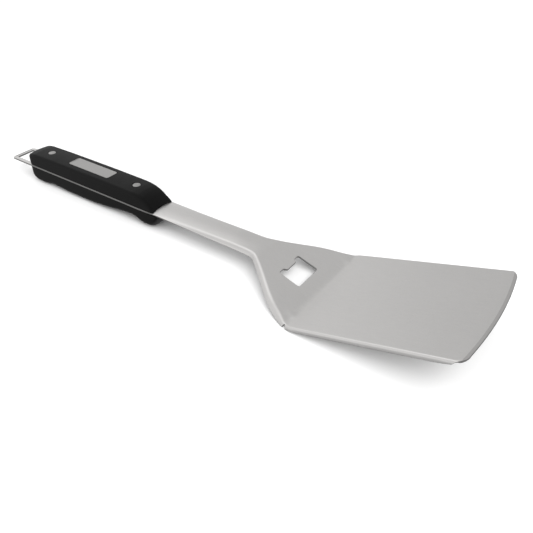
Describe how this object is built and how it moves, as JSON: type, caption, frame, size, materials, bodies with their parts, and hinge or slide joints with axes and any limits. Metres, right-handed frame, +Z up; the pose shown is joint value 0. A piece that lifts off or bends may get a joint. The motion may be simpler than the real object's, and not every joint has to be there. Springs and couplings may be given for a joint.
{
  "type": "grill spatula",
  "caption": "Full-tang grill spatula: a pressed steel blade, shank and hanging loop with a bottle-opener cut-out in the neck, riveted black handle scales and an inlaid badge plate.",
  "frame": {"origin": "on the floor under the middle of the bounding box, with the tool lying as it rests", "axes": "+X from the hanging loop towards the blade's front edge, +Y to the left, +Z up"},
  "size_m": [0.46, 0.103, 0.0378],
  "materials": {
    "brushed_stainless": "fine lengthwise brushed satin",
    "black_scale": "matte black, very fine moulded grain",
    "rivet_steel": "flush ground steel",
    "badge_steel": "brushed along its length, bright rim, left blank",
    "adhesive_foam": "thin foam mounting pad"
  },
  "bodies": {
    "root": {"steel_body": "brushed_stainless", "upper_handle_scale": "black_scale", "lower_handle_scale": "black_scale", "rear_rivet": "rivet_steel", "rear_rivet_sleeve": "rivet_steel", "front_rivet": "rivet_steel", "front_rivet_sleeve": "rivet_steel", "badge_plate": "badge_steel", "badge_adhesive": "adhesive_foam"}
  },
  "joints": []
}
